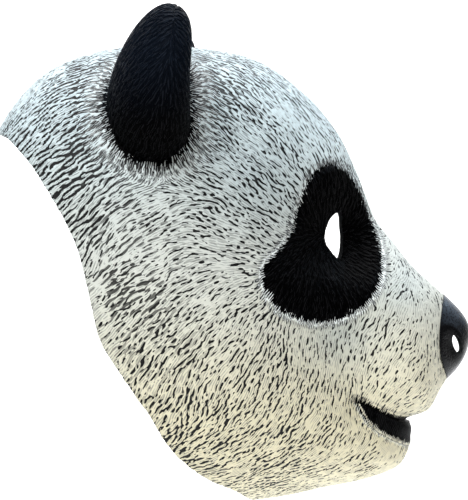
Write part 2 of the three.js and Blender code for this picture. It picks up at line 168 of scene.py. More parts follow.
# Which way the fur lies: pixel x, pixel y, degrees up from +X
FUR_LIES = [
    (24, 112, 52), (48, 88, 38), (72, 77, 30), (96, 64, 25), (80, 99, 33), (48, 135, 40),
    (72, 143, 33), (48, 175, 38), (77, 183, 22), (104, 160, 40), (96, 207, 50), (72, 223, 50),
    (143, 191, 30), (175, 207, 32), (183, 191, -20), (207, 72, -40), (207, 120, -25), (223, 160, -30),
    (215, 223, -20), (250, 72, -40), (274, 96, -45), (250, 112, -45), (282, 120, -50), (295, 150, -60),
    (258, 136, -40), (314, 128, -55), (330, 128, -62), (250, 183, -35), (274, 191, -30), (258, 223, -22),
    (242, 239, -10), (250, 258, -5), (250, 298, 25), (242, 330, 47), (266, 346, 60), (282, 362, 65),
    (306, 346, 75), (330, 346, 72), (346, 378, 82), (370, 338, 60), (393, 339, 55), (393, 282, 55),
    (425, 306, 80), (425, 346, 60), (417, 386, 57), (298, 394, 60), (274, 410, 65), (250, 433, 50),
    (330, 425, 60), (330, 465, 27), (282, 473, 20), (378, 457, 27), (393, 441, 60), (104, 255, 60),
    (143, 274, 27), (120, 290, 40), (159, 322, 40), (143, 330, 55), (207, 314, 40), (223, 330, 50),
    (159, 370, 60), (175, 389, 65), (207, 401, 80), (191, 394, 75), (199, 433, 50), (223, 433, 45),
    (207, 465, 15),
]

# Where the nose's black paint ends on the fur behind it: pixel x, pixel y
NOSE_PAINT = [
    (446, 296), (445.6, 314), (443, 328), (439, 336), (436.5, 345), (436.5, 357),
    (440, 365), (444, 372), (446, 381), (475, 381), (475, 296),
]

# Where the black paint round the eye ends, a little outside the raised patch: pixel x, pixel y
EYE_PAINT = [
    (331, 163), (346, 172), (358, 188), (367, 207), (373, 223), (379, 242), (381, 259), (380, 276),
    (374, 290), (364, 303), (350, 313), (332, 319), (313, 321), (295, 317), (277, 308), (265, 294),
    (260, 279), (260, 270), (265, 260), (277, 250), (288, 233), (294, 214), (299, 198), (303, 187),
    (310, 175), (320, 167),
]

# How the black wash sits in the fur: pixel x, pixel y, darkness, share of long coarse strokes
WASH = [
    (30, 95, 0.4, 0.6), (60, 75, 0.45, 0.5), (85, 85, 1.1, 0.8), (95, 112, 1.1, 0.9),
    (60, 110, 0.84, 0.8), (40, 130, 0.6, 0.7), (60, 150, 0.82, 0.8), (92, 150, 1.1, 0.8),
    (75, 185, 1.15, 1.0), (60, 195, 0.8, 0.9), (100, 190, 0.9, 0.9), (95, 228, 0.9, 0.8),
    (120, 202, 0.38, 0.5), (143, 187, 0.3, 0.4), (130, 240, 0.38, 0.5), (165, 215, 0.5, 0.4),
    (190, 190, 0.62, 0.3), (220, 200, 0.74, 0.25), (170, 245, 0.5, 0.4), (110, 255, 0.4, 0.4),
    (132, 276, 0.76, 0.6), (152, 295, 0.7, 0.5), (94, 262, 0.6, 0.6), (98, 292, 0.35, 0.4),
    (100, 310, 0.45, 0.3), (128, 300, 0.72, 0.5), (190, 290, 0.62, 0.3), (200, 240, 0.54, 0.25),
    (212, 110, 0.8, 0.6), (215, 60, 0.8, 0.4), (235, 140, 0.76, 0.35), (160, 350, 0.8, 0.3),
    (200, 425, 0.86, 0.2), (240, 370, 0.8, 0.2), (230, 310, 0.64, 0.25), (260, 85, 0.7, 0.4),
    (290, 125, 0.68, 0.25), (330, 140, 0.66, 0.15), (245, 185, 0.82, 0.25), (275, 205, 0.76, 0.2),
    (385, 262, 0.5, 0.05), (410, 320, 0.44, 0.0), (400, 375, 0.42, 0.0), (340, 370, 0.6, 0.1),
    (290, 430, 0.8, 0.15), (350, 455, 0.54, 0.1), (395, 455, 0.36, 0.05), (270, 480, 0.8, 0.1),
    (432, 350, 0.55, 0.3),
]

# How the rows of the tables above blend: by this power of the distance, beyond this reach
BLEND_REACH = 6 * MM
BLEND_POWER = -3.2

# Soft round patches of painted shade that darken the white of the face: name, pixel x, pixel y, reach in
# pixels, darkness
SHADES = [
    ("temple", 262, 188, 52, 0.4),
    ("under the eye", 337, 333, 32, 0.38),
    ("bridge of the nose", 396, 286, 30, 0.36),
]

# How finely the surfaces are cut up: columns and rows, or one of them
COLUMNS = 544
MUZZLE_COLUMNS = 272
INNER_COLUMNS = 68
MUZZLE_ROWS = 46
HEAD_ROWS = 140
INNER_ROWS = 34
PATCH_COLUMNS, PATCH_ROWS = 360, 56
EAR_GRID = (260, 190)
EAR_PROBE_GRID = (96, 60)
EAR_CUTTER_GRID = (64, 40)
NOSE_GRID = (192, 72)
NOSE_INNER_GRID = (48, 20)
LIP_GRID = (240, 60)
NOSTRIL_COLUMNS = 32
PATCH_STEPS = 16  # points between two of the eye's outlines, for the raised fur
PATH_STEPS = 97
HALVINGS = 40  # tries at the rim's cut
MUZZLE_RING = 3.2
STEP = 1e-3
FAR_SIDE = 0.25  # m, beyond the widest part of the mask


def smooth(keys, values, at):
    """Smooth curve through a table with rising keys, straight past its ends."""
    keys, values = np.asarray(keys, float), np.asarray(values, float)
    last = len(keys) - 1
    before, after = np.maximum(np.arange(last + 1) - 1, 0), np.minimum(np.arange(last + 1) + 1, last)
    slopes = (values[after] - values[before]) / (keys[after] - keys[before])
    i = np.clip(np.searchsorted(keys, at) - 1, 0, last - 1)
    span = keys[i + 1] - keys[i]
    t = (at - keys[i]) / span
    inside = np.clip(t, 0, 1)
    blend = inside * inside * (3 - 2 * inside)
    start = slopes[i] * span * inside * (1 - inside) ** 2
    end = slopes[i + 1] * span * inside**2 * (inside - 1)
    curve = values[i] * (1 - blend) + values[i + 1] * blend + start + end
    return curve + np.where(t < 0, slopes[i], slopes[i + 1]) * (t - inside) * span


def loft(ring, angle):
    """Points of the plain loft, before its place in the frame."""
    ring, angle = np.broadcast_arrays(np.asarray(ring, float), np.asarray(angle, float))
    at = {name: smooth(np.arange(len(RINGS)), values, ring) for name, values in RING.items()}
    upwards = np.cos(angle)
    top = upwards > 0
    fill = 1 + np.where(top, at["upper"], at["lower"]) * np.sin(2 * angle) ** 2
    reach = np.abs(upwards)
    sweep = reach ** np.where(top, at["keel"], LOWER_KEEL)
    x = at["sideX"] + (np.where(top, at["topX"], at["lowX"]) - at["sideX"]) * sweep
    y = at["sideY"] * np.sin(angle) * fill
    z = at["sideZ"] + (np.where(top, at["topZ"], at["lowZ"]) - at["sideZ"]) * reach * fill
    return np.stack([x * LENGTH, y * HALF_WIDTH, z * HEIGHT], -1)


def unit(vectors):
    return vectors / np.maximum(np.linalg.norm(vectors, axis=-1, keepdims=True), 1e-9)


def normals_of(surface, ring, angle):
    along_ring = surface(ring, angle + STEP) - surface(ring, angle - STEP)
    backwards = surface(ring + STEP, angle) - surface(ring - STEP, angle)
    return unit(np.cross(along_ring, backwards))


def bell(distance):
    return np.exp(-distance * distance)


def swell_at(points):
    x, y, z = np.moveaxis(points, -1, 0)
    width = 2 * HALF_WIDTH
    height = np.zeros(x.shape)
    for _, at_x, at_z, reach, share in SWELLS:
        away = np.hypot(x - at_x * LENGTH, z - at_z * HEIGHT)
        height += share * width * bell(away / (reach * LENGTH))
    groove = bell(y / (PHILTRUM_WIDTH * width)) * bell((z / HEIGHT - PHILTRUM_MIDDLE) / PHILTRUM_HALF)
    return height - PHILTRUM_DEPTH * width * groove * (x > MOUTH_CORNER[0] * LENGTH)


def raw_skin(ring, angle):
    points = loft(ring, angle)
    return points + normals_of(loft, ring, angle) * swell_at(points)[..., None]


SEAT_TOP = raw_skin(SEAT_RING, 0.0)
SEAT = SEAT_TOP - WALL * normals_of(raw_skin, SEAT_RING, 0.0)


def skin(ring, angle, offset=0.0):
    """Points of the skin in the row frame, moved out along its normals by offset."""
    points = raw_skin(ring, angle) - SEAT
    if offset:
        points = points + offset * normals_of(raw_skin, ring, angle)
    return points


def from_shares(x, z):
    return x * LENGTH - SEAT[0], z * HEIGHT - SEAT[2]


def from_pixels(x, y):
    return (np.asarray(x) - SEAT_PIXEL[0]) * PIXEL, (SEAT_PIXEL[1] - np.asarray(y)) * PIXEL


def rim_rings(angles):
    """The ring at which the skin meets the rim's cut, at each angle."""
    keys = [z for z, _ in RIM][::-1]
    values = [x for _, x in RIM][::-1]
    ahead = np.full(len(angles), float(BROW_RING))
    behind = np.full(len(angles), len(RINGS) - 1.0)
    for _ in range(HALVINGS):
        middle = (ahead + behind) / 2
        points = raw_skin(middle, angles)
        inside = points[:, 0] > smooth(keys, values, points[:, 2] / HEIGHT) * LENGTH
        ahead, behind = np.where(inside, middle, ahead), np.where(inside, behind, middle)
    return ahead


def pixel_outline(table):
    return np.stack(from_pixels(*np.array(table).T), -1)


def turns(count):
    return np.arange(count) / count * 2 * math.pi


def even_rings(first, last, rows, angles):
    """Rings spaced evenly along the skin at each angle, as rows by angles."""
    steps = np.linspace(0, 1, PATH_STEPS)[:, None]
    fine = first + (last - first) * steps
    points = raw_skin(fine, angles)
    travelled = np.zeros(fine.shape)
    travelled[1:] = np.cumsum(np.linalg.norm(np.diff(points, axis=0), axis=-1), axis=0)
    wanted = np.linspace(0, 1, rows + 1)
    columns = [np.interp(wanted * t[-1], t, f) for t, f in zip(travelled.T, fine.T)]
    return np.array(columns).T


# Mesh building


class Shape:
    """Points and faces of one closed body, with a material index for each face."""

    def __init__(self):
        self.points = []
        self.faces = []
        self.finishes = []
        self.count = 0

    def loop(self, points):
        self.points.append(np.asarray(points, float).reshape(-1, 3))
        start = self.count
        self.count += len(self.points[-1])
        return start, self.count - start

    def face(self, corners, finish):
        self.faces.append(corners)
        self.finishes.append(finish)

    def bridge(self, near, far, finish=0):
        """Joins two loops. One has as many points as the other or a multiple of them."""
        (a, size_a), (b, size_b) = near, far
        coarse = min(size_a, size_b)
        steps_a, steps_b = size_a // coarse, size_b // coarse
        for j in range(coarse):
            row_a = [a + (j * steps_a + i) % size_a for i in range(steps_a + 1)]
            row_b = [b + (j * steps_b + i) % size_b for i in range(steps_b + 1)]
            if steps_a == steps_b:
                self.face((row_a[0], row_a[1], row_b[1], row_b[0]), finish)
                continue
            fine, ends = (row_a, row_b) if steps_a > 1 else (row_b, row_a)
            half = (len(fine) - 1) // 2
            for i in range(len(fine) - 1):
                apex = ends[0] if i < half else ends[1]
                edge = (fine[i], fine[i + 1]) if steps_a > 1 else (fine[i + 1], fine[i])
                self.face((*edge, apex), finish)
            middle = (fine[half], ends[1], ends[0]) if steps_a > 1 else (ends[0], ends[1], fine[half])
            self.face(middle, finish)

    def stack(self, loops, finish=0):
        """Adds loops, joins each to the next, and gives the first and the last."""
        placed = [self.loop(loop) for loop in loops]
        for near, far in zip(placed, placed[1:]):
            self.bridge(near, far, finish)
        return placed[0], placed[-1]

    def cap(self, loop, pole, finish=0, turned=False):
        start, size = loop
        tip, _ = self.loop(pole)
        for j in range(size):
            edge = (start + j, start + (j + 1) % size)
            self.face((*edge, tip) if not turned else (*edge[::-1], tip), finish)

    def mesh(self):
        mesh = bpy.data.meshes.new("shape")
        mesh.from_pydata(np.concatenate(self.points).tolist(), [], self.faces)
        mesh.polygons.foreach_set("material_index", self.finishes)
        mesh.update()
        if volume_of(mesh) < 0:
            mesh.flip_normals()
        return mesh


def of_vertices(mesh, name):
    values = np.empty(len(mesh.vertices) * 3)
    mesh.vertices.foreach_get(name, values)
    return values.reshape(-1, 3)


def corners_of(mesh):
    return of_vertices(mesh, "co")


def normals_at(mesh):
    return of_vertices(mesh, "normal")


def inner_points(mesh):
    """1 at the points of the faces that lie inside the mask, otherwise 0."""
    inner = np.zeros(len(mesh.vertices))
    for polygon in mesh.polygons:
        if polygon.material_index:
            inner[list(polygon.vertices)] = 1
    return inner


def volume_of(mesh):
    mesh.calc_loop_triangles()
    triangles = np.empty(len(mesh.loop_triangles) * 3, int)
    mesh.loop_triangles.foreach_get("vertices", triangles)
    a, b, c = np.moveaxis(corners_of(mesh)[triangles.reshape(-1, 3)], 1, 0)
    return np.einsum("ij,ij->", a, np.cross(b, c)) / 6


def body_of_loops(loops, poles=None):
    """Closed body from a stack of equal loops: capped with two poles, or joined end to end."""
    shape = Shape()
    first, last = shape.stack(loops)
    if poles is None:
        shape.bridge(last, first)
    else:
        shape.cap(first, poles[0], turned=True)
        shape.cap(last, poles[1])
    return shape.mesh()


def put(name, data, location=(0, 0, 0)):
    made = bpy.data.objects.new(name, data)
    made.location = location
    bpy.context.scene.collection.objects.link(made)
    return made


def add(name, mesh, *materials):
    """Object with the given materials, or with the inside's."""
    mesh.name = name
    for material in materials or (dark_inside,):
        mesh.materials.append(material)
    return put(name, mesh)


def bake_modifiers(made):
    """Swaps the object's mesh for the one that its modifiers give."""
    seen = made.evaluated_get(bpy.context.evaluated_depsgraph_get())
    mesh = bpy.data.meshes.new_from_object(seen)
    made.modifiers.clear()
    made.data = mesh


def combine(made, operation, cutters):
    for cutter in cutters:
        step = made.modifiers.new("cut", "BOOLEAN")
        step.operation = operation
        step.solver = "MANIFOLD"
        step.object = cutter
    bake_modifiers(made)
    for cutter in cutters:
        bpy.data.objects.remove(cutter)


def outline(table, centre, size, steps=6):
    """Smooth closed curve through a table, as x and z in the row frame."""
    middle = np.array(from_shares(*centre))
    points = middle + np.array(table) * size
    before, after = np.roll(points, 1, 0), np.roll(points, -1, 0)
    beyond = np.roll(points, -2, 0)
    t = np.arange(steps)[:, None, None] / steps
    curve = 0.5 * (
        2 * points
        + (after - before) * t
        + (2 * before - 5 * points + 4 * after - beyond) * t**2
        + (3 * points - before - 3 * after + beyond) * t**3
    )
    return curve.transpose(1, 0, 2).reshape(-1, 2)


def prism(name, curve):
    """Body that fills an outline of the side view from beyond one side of the mask to the other."""
    shape = Shape()
    rows = [np.insert(curve, 1, y, axis=1) for y in (-FAR_SIDE, FAR_SIDE)]
    near, far = (shape.loop(row) for row in rows)
    shape.bridge(near, far)
    shape.face(tuple(range(near[0], near[0] + near[1]))[::-1], 0)
    shape.face(tuple(range(far[0], far[0] + far[1])), 0)
    return add(name, shape.mesh())


def mouth_outline(shift_x=0.0, shift_z=0.0):
    x, z = from_shares(*MOUTH_CORNER)
    along = np.array([row[0] for row in MOUTH_EDGES]) * MOUTH_LENGTH + x + shift_x
    upper, lower = (z + shift_z - np.array([row[i] for row in MOUTH_EDGES]) * MOUTH_DROP for i in (1, 2))
    return np.concatenate([np.stack([along, lower], 1), np.stack([along, upper], 1)[::-1]])


def inside_outline(points, curve):
    x, z = points[:, 0, None], points[:, 1, None]
    (ax, az), (bx, bz) = curve.T, np.roll(curve, -1, 0).T
    crosses = (az > z) != (bz > z)
    with np.errstate(divide="ignore", invalid="ignore"):
        where = (bx - ax) * (z - az) / (bz - az) + ax
    return (crosses & (x < where)).sum(1) % 2 == 1


def beside_outline(points, curve):
    """Signed distance in the side view to a closed outline, negative inside it."""
    start, side = curve, np.roll(curve, -1, 0) - curve
    away = points[:, None] - start
    t = np.clip((away * side).sum(-1) / (side**2).sum(-1), 0, 1)
    distance = np.linalg.norm(away - t[..., None] * side, axis=-1).min(1)
    return np.where(inside_outline(points, curve), -distance, distance)


# Materials


def fresh_material(name):
    material = bpy.data.materials.new(name)
    material.use_nodes = True
    tree = material.node_tree
    return material, Graph(tree), tree.nodes["Principled BSDF"].inputs


class Graph:
    """Short names for the nodes that the shaders and the fur's relief share."""

    def __init__(self, tree):
        self.tree = tree
        self.in_shader = tree.type == "SHADER"
        self.stirred = None

    def link(self, value, socket):
        if isinstance(value, bpy.types.NodeSocket):
            self.tree.links.new(value, socket)
        else:
            socket.default_value = value

    def node(self, kind, inputs=(), **settings):
        """Outputs of a new node, with its inputs by name or number and its settings by name."""
        made = self.tree.nodes.new(kind)
        for name, setting in settings.items():
            setattr(made, name, setting)
        for name, value in dict(inputs).items():
            self.link(value, made.inputs[name])
        return made.outputs

    def math(self, operation, *values):
        return self.node("ShaderNodeMath", dict(enumerate(values)), operation=operation)[0]

    def vector(self, operation, *values):
        return self.node("ShaderNodeVectorMath", dict(enumerate(values)), operation=operation)[0]

    def times(self, first, second):
        return self.math("MULTIPLY", first, second)

    def plus(self, first, second):
        return self.math("ADD", first, second)

    def minus(self, first, second):
        return self.math("SUBTRACT", first, second)

    def ramp(self, value, low, high, to_low=0.0, to_high=1.0):
        inputs = {"Value": value, "From Min": low, "From Max": high, "To Min": to_low, "To Max": to_high}
        return self.node("ShaderNodeMapRange", inputs, interpolation_type="SMOOTHSTEP")["Result"]

    def mask(self, name, value):
        """How far a value has come between the levels of that name."""
        return self.ramp(value, *LEVELS[name])

    def attribute(self, name, vector=False):
        if self.in_shader:
            return self.node("ShaderNodeAttribute", attribute_name=name)["Vector" if vector else "Fac"]
        kind = "FLOAT_VECTOR" if vector else "FLOAT"
        return self.node("GeometryNodeInputNamedAttribute", {"Name": name}, data_type=kind)["Attribute"]

    def noise(self, size, detail=2.0):
        rest = self.attribute("rest", vector=True)
        return self.node("ShaderNodeTexNoise", {"Vector": rest, "Scale": 1 / size, "Detail": detail})

    def unruly(self):
        """Place and direction across the fur, both stirred so that no two strands match."""
        if self.stirred is None:
            rest = self.attribute("rest", vector=True)
            stir = self.vector("SUBTRACT", self.noise(STIR_SIZE, 1.0)["Color"], (MIDDLE,) * 3)
            place = self.vector("ADD", rest, self.vector("MULTIPLY", stir, (STIR_SHIFT,) * 3))
            turned = self.vector("MULTIPLY", stir, (STIR_TURN,) * 3)
            self.stirred = place, self.vector("ADD", self.attribute("comb", vector=True), turned)
        return self.stirred

    def strands(self, reach, spacing, shift=0.0):
        """Waves across the fur: reach is how long a strand stays whole, spacing how far apart they lie."""
        place, across = self.unruly()
        place = self.vector("ADD", place, (shift,) * 3)
        inputs = {"Vector": place, "Orientation 3D": across, "Scale": 1 / reach, "Frequency": reach / spacing}
        return self.node("ShaderNodeTexGabor", {**inputs, "Anisotropy": 1.0}, gabor_type="3D")["Value"]

    def mix(self, share, first, second):
        first, second = ((*given, 1.0) if isinstance(given, tuple) else given for given in (first, second))
        return self.node("ShaderNodeMix", {0: share, 6: first, 7: second}, data_type="RGBA")[2]

    def bump(self, height, distance, strength=1.0):
        return self.node("ShaderNodeBump", {"Strength": strength, "Distance": distance, "Height": height})[0]


LONG_STRANDS = {"reach": 5.6 * MM, "spacing": 4.1 * MM}
SHORT_STRANDS = {"reach": 3.7 * MM, "spacing": 3.8 * MM, "shift": 0.31}
FINE_STRANDS = {"reach": 4.5 * MM, "spacing": 1.6 * MM, "shift": 0.77}
STIR_SIZE = 13 * MM
STIR_SHIFT = 2.5 * MM
STIR_TURN = 0.6
CLUMP_SIZE, CLUMP_SWING = 16 * MM, 0.24
PATCHY_SIZE, BROKEN_SIZE = 7 * MM, 5 * MM
FUR_BUMP = 0.6 * MM
# Noise and the strands' waves lie round this level, the waves by about 0.1
MIDDLE = 0.5
# Where grooves start with no wash and full wash, how soft their edges are, how much later short ones start
SPARSE, DENSE, SOFT, SHORT_LATER = 0.685, 0.49, 0.022, 0.025
# Fine threads: how dark they are, how much darker the wash makes them, and their depth beside grooves
THREAD, THREAD_WASH, THREAD_DEPTH = 0.25, 0.45, 0.45
# How far waves and grooves move a painted edge, and how long the teeth of its bare edge are
SWING, GROOVE_SWING, TEETH = 7.0, -0.12, 5.0
FLECK_SHARE = 0.9

# Levels between which each mask goes from 0 to 1, or from the third number to the fourth
LEVELS = {
    "long": (0.15, 0.6),
    "short": (0.95, 0.45),
    "fine": (0.52, 0.64),
    "lit": (0.5, 0.58),
    "flecks": (0.57, 0.60),
    "blurred": (0.42, 0.55, 0.3, 1.0),
    "patchy": (0.3, 0.42, 0.95, 1.0),
    "broken": (0.38, 0.52, 0.6, 1.0),
    "painted": (0.35 * MM, -0.35 * MM),
    "bare": (1.25, 0.85),
    "beyond bare": (0.7, 1.4),
    "near paint": (3.2, 1.8),
    "below": (-0.14, -0.27),
    "above": (-0.16, -0.03),
    "skyward": (-0.065, 0.0),
    "nose lit": (0.6, 1.0),
    "nose speck": (0.15, 0.6, 0.15, 1.0),
}


def fur_grooves(graph):
    """Depth of the fur's grooves from 0 to 1, as long and short strokes."""
    clumps = graph.times(graph.minus(graph.noise(CLUMP_SIZE)[0], MIDDLE), CLUMP_SWING)
    start = graph.plus(graph.minus(SPARSE, graph.times(graph.attribute("wash"), SPARSE - DENSE)), clumps)
    strokes = []
    for name, strands, later in (("long", LONG_STRANDS, 0.0), ("short", SHORT_STRANDS, SHORT_LATER)):
        first = graph.plus(start, later)
        depth = graph.ramp(graph.strands(**strands), first, graph.plus(first, SOFT))
        strokes.append(graph.times(depth, graph.mask(name, graph.attribute("coarse"))))
    return graph.math("MAXIMUM", *strokes)


def carving():
    """Geometry nodes that press the fur's grooves into a surface by its attribute relief."""
    tree = bpy.data.node_groups.new("fur carving", "GeometryNodeTree")
    tree.interface.new_socket("Geometry", in_out="INPUT", socket_type="NodeSocketGeometry")
    tree.interface.new_socket("Geometry", in_out="OUTPUT", socket_type="NodeSocketGeometry")
    start, end = tree.nodes.new("NodeGroupInput"), tree.nodes.new("NodeGroupOutput")
    graph = Graph(tree)
    depth = graph.times(fur_grooves(graph), graph.attribute("relief"))
    inputs = {0: graph.node("GeometryNodeInputNormal")[0], "Scale": graph.times(depth, -1.0)}
    inward = graph.node("ShaderNodeVectorMath", inputs, operation="SCALE")[0]
    moved = graph.node("GeometryNodeSetPosition", {"Geometry": start.outputs[0], "Offset": inward})
    graph.link(moved[0], end.inputs[0])
    return tree


# White paint of the fur: bluer towards the top as painted sky light, creamier towards the bottom
SKYLIT_WHITE_ABOVE = (0.64, 0.75, 0.79)
WHITE_MIDDLE = (0.72, 0.74, 0.69)
WHITE_BELOW = (0.80, 0.74, 0.53)
GREY = (0.17, 0.18, 0.18)
HAZE = (0.10, 0.105, 0.115)
BLACK = (0.0003, 0.0003, 0.0004)
# Black fur: bluer higher up as painted sky sheen, and lighter strands as painted sheen
SKY_SHEEN_BLACK = (0.004, 0.006, 0.0105)
PAINTED_SHEEN_ABOVE = (0.012, 0.017, 0.027)
PAINTED_SHEEN_BELOW = (0.009, 0.009, 0.010)
# Bright bare edge by the black paint: whiter paint, and a painted highlight where strand tips catch the light
BARE_WHITE_AND_GLINT = (0.92, 0.97, 0.97)
# Grey-blue that the white is mixed toward under the painted shade
PAINTED_SHADE_TINT = (0.28, 0.37, 0.41)
# Nose: a bluish painted highlight in its colour where its surface faces NOSE_LIT
NOSE_PAINTED_SHEEN = (0.07, 0.088, 0.115)
NOSE_LIT = (0.5, -0.15, 0.85)  # the way that the lit part of the nose faces
NOSE_BLACK = (0.002, 0.002, 0.0025)
INSIDE_BLACK = (0.008, 0.008, 0.009)
# Fur's finish where it is white and where it is black
FINISH = {"Roughness": (0.55, 0.4), "Specular IOR Level": (0.3, 0.012)}
FINISH_EDGE = 0.5 * MM
PEBBLE_LIGHTER = 1.4
PEBBLE_BUMP = 0.6
LATEX_IOR = 1.24


def fur(name):
    """Painted fur: white with a black wash in its grooves, and black where ink is below zero."""
    material, graph, surface = fresh_material(name)
    height = graph.node("ShaderNodeSeparateXYZ", {0: graph.attribute("rest", vector=True)})[2]
    # Painted sky light: the white turns bluer towards the top; it turns creamier towards the bottom
    white = graph.mix(graph.mask("below", height), WHITE_MIDDLE, WHITE_BELOW)
    white = graph.mix(graph.mask("above", height), white, SKYLIT_WHITE_ABOVE)
    # Painted shade: soft round patches darken the white toward grey-blue
    white = graph.mix(graph.attribute("shade"), white, PAINTED_SHADE_TINT)
    grooves = fur_grooves(graph)
    fine_waves = graph.strands(**FINE_STRANDS)
    fine = graph.mask("fine", fine_waves)
    thread = graph.times(fine, graph.plus(graph.times(graph.attribute("wash"), THREAD_WASH), THREAD))
    stroke = graph.times(grooves, graph.mask("patchy", graph.noise(PATCHY_SIZE, 3.0)[0]))
    tint = graph.mix(stroke, graph.mix(thread, white, GREY), BLACK)
    # Black paint: strands of it cross a bright bare edge, whiter paint with a painted highlight on the strand
    # tips, with flecks and a grey haze a little further out
    rag, ink = graph.attribute("rag"), graph.attribute("ink")
    ragged = graph.plus(graph.times(grooves, GROOVE_SWING), graph.minus(fine_waves, MIDDLE))
    swing = graph.times(ragged, graph.times(rag, SWING))
    reach = graph.math("DIVIDE", ink, rag)
    outside = graph.times(graph.mask("beyond bare", reach), graph.mask("near paint", reach))
    flecks = graph.times(outside, graph.mask("flecks", fine_waves))
    painted = graph.mask("painted", graph.plus(ink, swing))
    painted = graph.math("MAXIMUM", painted, graph.times(flecks, FLECK_SHARE))
    blurred = graph.times(graph.attribute("haze"), graph.mask("blurred", fine_waves))
    tint = graph.mix(graph.times(outside, blurred), tint, HAZE)
    toothed = graph.plus(reach, graph.times(ragged, TEETH))
    broken = graph.times(graph.attribute("fringe"), graph.mask("broken", graph.noise(BROKEN_SIZE)[0]))
    tint = graph.mix(graph.times(graph.mask("bare", toothed), broken), tint, BARE_WHITE_AND_GLINT)
    # Painted sheen on the black: bluer higher up, with lighter strands where there are no grooves
    skyward = graph.mask("skyward", height)
    painted_sheen = graph.mix(skyward, PAINTED_SHEEN_BELOW, PAINTED_SHEEN_ABOVE)
    dark = graph.mix(skyward, BLACK, SKY_SHEEN_BLACK)
    lit = graph.times(graph.mask("lit", fine_waves), graph.minus(1.0, grooves))
    tint = graph.mix(painted, tint, graph.mix(lit, dark, painted_sheen))
    graph.link(tint, surface["Base Color"])
    for socket, ends in FINISH.items():
        graph.link(graph.ramp(ink, FINISH_EDGE, -FINISH_EDGE, *ends), surface[socket])
    dips = graph.plus(grooves, graph.times(fine, THREAD_DEPTH))
    graph.link(graph.bump(graph.minus(1.0, dips), FUR_BUMP), surface["Normal"])
    return material


def plain_latex(name, colour, roughness, grain, depth, painted_sheen=None):
    """Smooth pebbled latex, with a painted sheen in its colour where it faces the light, if one is given."""
    material, graph, surface = fresh_material(name)
    place = graph.node("ShaderNodeTexCoord")["Object"]
    hollow = graph.node("ShaderNodeTexVoronoi", {"Vector": place, "Scale": 1 / grain})["Distance"]
    shade = graph.mix(hollow, colour, tuple(channel * PEBBLE_LIGHTER for channel in colour))
    # Painted highlight: the colour turns bluish in specks where the surface faces the light
    if painted_sheen:
        inputs = {0: graph.node("ShaderNodeNewGeometry")["Normal"], 1: NOSE_LIT}
        facing = graph.node("ShaderNodeVectorMath", inputs, operation="DOT_PRODUCT")["Value"]
        lit = graph.times(graph.mask("nose lit", facing), graph.mask("nose speck", hollow))
        shade = graph.mix(lit, shade, painted_sheen)
    graph.link(shade, surface["Base Color"])
    graph.link(roughness, surface["Roughness"])
    graph.link(LATEX_IOR, surface["IOR"])
    graph.link(graph.bump(graph.minus(1.0, hollow), depth, PEBBLE_BUMP), surface["Normal"])
    return material


white = fur("white fur")
black = fur("black fur")
nose_black = plain_latex("nose latex", NOSE_BLACK, 0.26, grain=1.6 * MM, depth=0.3 * MM, painted_sheen=NOSE_PAINTED_SHEEN)
lip_black = fur("lip latex")
dark_inside = plain_latex("inside latex", INSIDE_BLACK, 0.7, grain=3.0 * MM, depth=0.2 * MM)
carve = carving()

# Skin


def shell_mesh():
    """The skin from the nose's seat to the rim, finer behind the muzzle, with a plain inside."""
    shape = Shape()
    muzzle, head, inside = turns(MUZZLE_COLUMNS), turns(COLUMNS), turns(INNER_COLUMNS)
    muzzle_rings = even_rings(0.0, np.full(MUZZLE_COLUMNS, MUZZLE_RING), MUZZLE_ROWS, muzzle)
    head_rings = even_rings(MUZZLE_RING, rim_rings(head), HEAD_ROWS, head)
    inner_rings = even_rings(0.0, rim_rings(inside), INNER_ROWS, inside)
    front, rim = shape.stack([*skin(muzzle_rings, muzzle)[:-1], *skin(head_rings, head)])
    inner_rim, inner_front = shape.stack(skin(inner_rings, inside, -WALL)[::-1], 1)
    shape.bridge(rim, inner_rim)
    shape.bridge(inner_front, front, 1)
    return shape.mesh()


def head_lump(name, offset):
    """The whole head as one closed lump, to shape what sits on it."""
    angles = turns(INNER_COLUMNS * 2)
    rings = even_rings(0.0, rim_rings(angles), INNER_ROWS * 2, angles)
    loops = list(skin(rings, angles, offset))
    return add(name, body_of_loops(loops, (loops[0].mean(0), loops[-1].mean(0))))


def ear_frame():
    root = skin(*EAR_SEAT)
    tilt, lean = EAR["tilt"], EAR["lean"]
    axis = np.array([math.sin(lean), -math.sin(tilt) * math.cos(lean), math.cos(tilt) * math.cos(lean)])
    across = np.array([0.0, -math.cos(tilt), -math.sin(tilt)])
    return root + axis * EAR["raise"], axis, across, unit(np.cross(axis, across))


def ear_egg(name, inset, grid, side, *materials):
    centre, axis, across, front = ear_frame()
    columns, rows = grid
    semi_rise, semi_across, semi_depth = (EAR[k] / 2 - inset for k in ("height", "width", "thickness"))
    polar = np.linspace(0, math.pi, rows + 1)[:, None]
    turn = turns(columns)[None, :]
    rise = semi_rise * np.cos(polar)
    wide = semi_across * np.sin(polar) * np.sin(turn)
    depth = semi_depth * np.sin(polar) * np.cos(turn)
    hollow = bell(np.hypot(wide, rise - EAR["cup_rise"]) / EAR["cup_reach"])
    facing = np.clip(depth / (EAR["thickness"] / 2), 0, 1)
    facing = facing * facing * (3 - 2 * facing)
    taper = 1 - EAR["taper"] * rise / (EAR["height"] / 2)
    forwards = depth * taper - EAR["cup"] * hollow * facing
    points = centre + rise[..., None] * axis + wide[..., None] * across + forwards[..., None] * front
    points[..., 1] *= side
    return add(name, body_of_loops(list(points[1:-1]), (points[0, :1], points[-1, :1])), *materials)


def store(mesh, **attributes):
    """Stores numbers or vectors, one for all points or one each, under their names."""
    for name, values in attributes.items():
        values = np.asarray(values, np.float32)
        is_vector = values.ndim == 2
        data = mesh.attributes.new(name, "FLOAT_VECTOR" if is_vector else "FLOAT", "POINT").data
        if not values.ndim:
            values = np.full(len(data), values)
        data.foreach_set("vector" if is_vector else "value", values.ravel())


